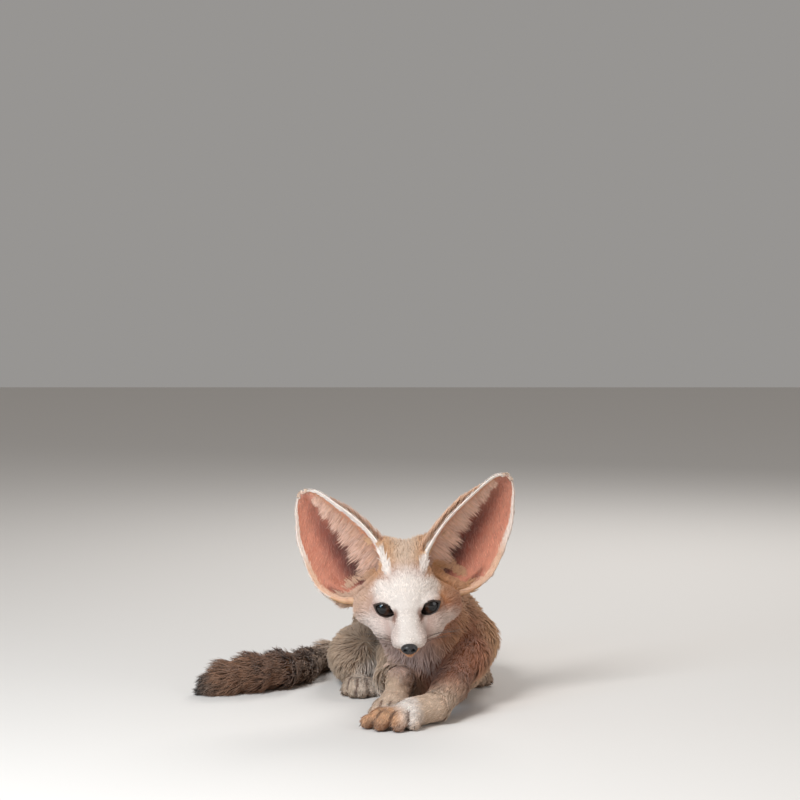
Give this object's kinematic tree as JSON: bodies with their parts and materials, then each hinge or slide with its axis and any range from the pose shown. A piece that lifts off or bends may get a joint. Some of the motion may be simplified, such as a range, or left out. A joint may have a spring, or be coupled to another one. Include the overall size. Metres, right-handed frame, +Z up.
{
  "type": "fennec fox",
  "caption": "Fennec fox lying on its chest with its head up, ears spread wide and tail along the ground, as a still life-size model.",
  "frame": {"origin": "on the ground under the middle of the belly", "axes": "+Z up, -Y the way the fox looks, +X toward the fox's left side"},
  "size_m": [0.2485, 0.293, 0.1775],
  "materials": {
    "sand_fur": "matt",
    "cream_fur": "matt",
    "ear_skin": "matt",
    "tail_fur": "matt",
    "nose_skin": "satin",
    "eye": "gloss"
  },
  "bodies": {
    "root": {"eye_left": "eye", "eye_right": "eye", "nose": "nose_skin", "ear_left": "ear_skin", "ear_right": "ear_skin", "head": "cream_fur", "lower_jaw": "cream_fur", "torso": "sand_fur", "neck": "sand_fur", "thigh_left": "sand_fur", "thigh_right": "sand_fur", "upper_foreleg_left": "sand_fur", "lower_foreleg_left": "sand_fur", "upper_foreleg_right": "sand_fur", "lower_foreleg_right": "sand_fur", "shank_left": "sand_fur", "shank_right": "sand_fur", "forepaw_left": "cream_fur", "forepaw_right": "cream_fur", "hindpaw_left": "cream_fur", "hindpaw_right": "cream_fur", "tail_root": "tail_fur", "tail_middle": "tail_fur", "tail_tip": "tail_fur"}
  },
  "joints": []
}
